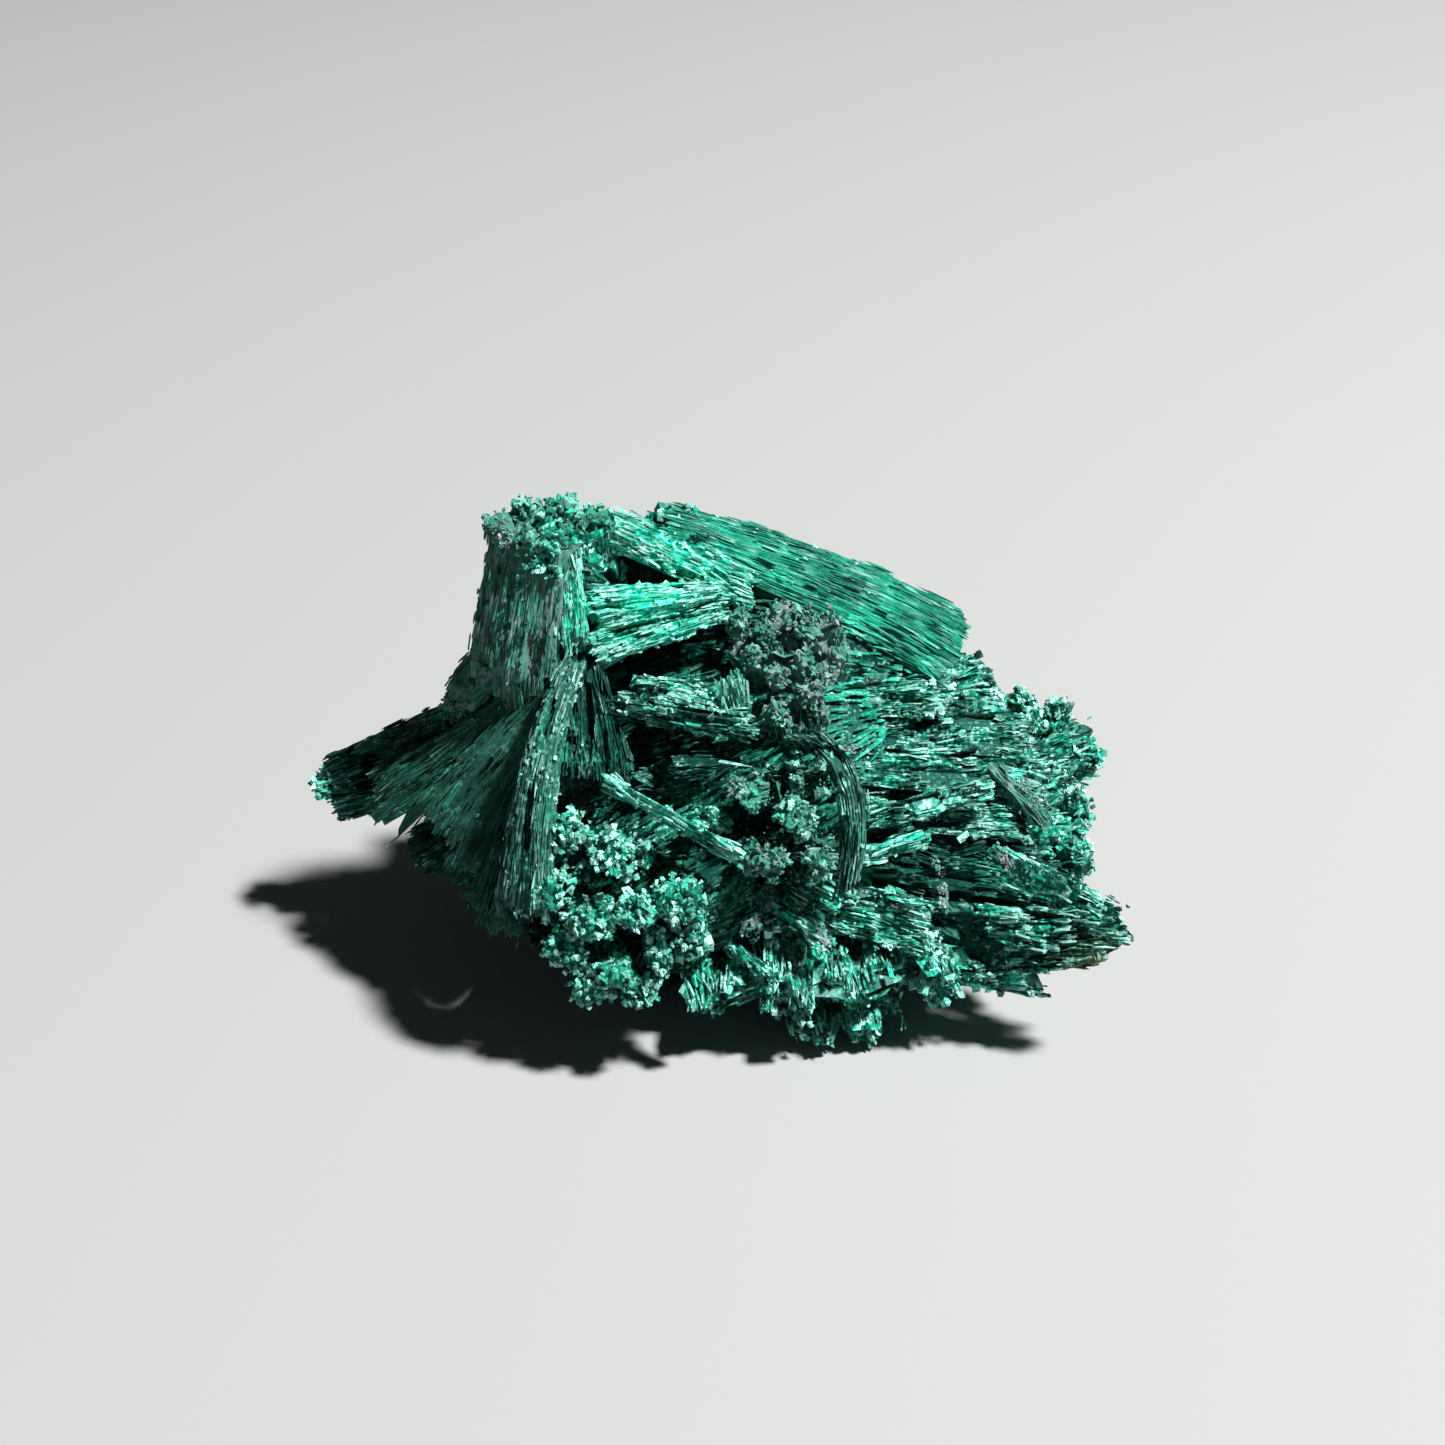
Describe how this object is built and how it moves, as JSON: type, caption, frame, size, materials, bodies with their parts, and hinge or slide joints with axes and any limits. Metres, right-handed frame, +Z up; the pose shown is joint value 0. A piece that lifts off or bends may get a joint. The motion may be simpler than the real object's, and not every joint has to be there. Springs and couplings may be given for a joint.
{
  "type": "malachite cluster",
  "caption": "Hand-sized cluster of fibrous malachite: a tall column, a silky sloping crest, fans of needle bundles and crumbly broken ends.",
  "frame": {"origin": "under the middle of the bounding box, on the surface that the cluster rests on", "axes": "+X to the right in the picture, along the longest side; +Y away from the camera; +Z up"},
  "size_m": [0.0606, 0.0384, 0.0371],
  "materials": {
    "malachite": "silky fibres, matt grey-green on one flank"
  },
  "bodies": {
    "root": {"malachite_cluster": "malachite"}
  },
  "joints": []
}
